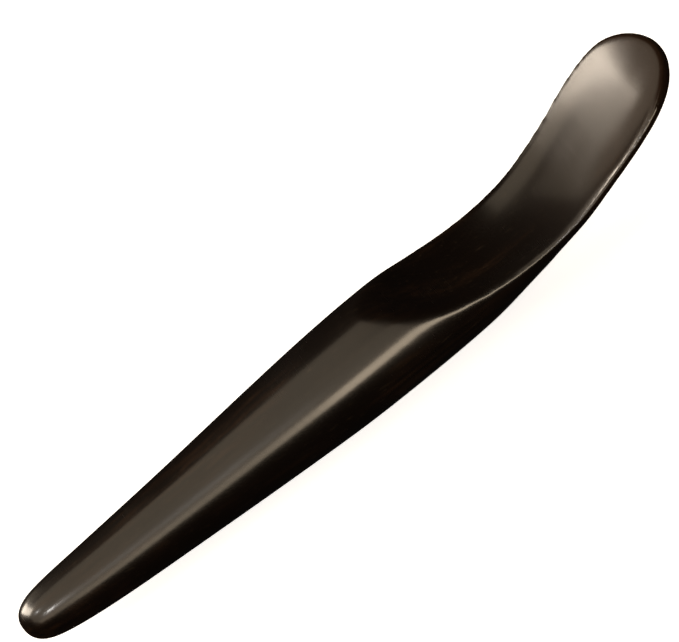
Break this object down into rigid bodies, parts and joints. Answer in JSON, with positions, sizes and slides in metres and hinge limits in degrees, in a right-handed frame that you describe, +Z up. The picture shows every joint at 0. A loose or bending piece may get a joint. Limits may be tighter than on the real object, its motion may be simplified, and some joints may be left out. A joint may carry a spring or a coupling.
{
  "type": "gua sha scraper",
  "caption": "Hand massage scraper: a round tapering handle that turns into a scooped hollow and a thin, raised, round-ended blade with a smooth rim.",
  "frame": {"origin": "under the middle of the bounding box, on the surface that the scraper lies on", "axes": "+X from the handle's tip to the blade's end, +Y across, +Z up, out of the hollow"},
  "size_m": [0.1554, 0.025, 0.0274],
  "materials": {
    "polished_horn": "semi-gloss"
  },
  "bodies": {
    "root": {"scraper": "polished_horn"}
  },
  "joints": []
}
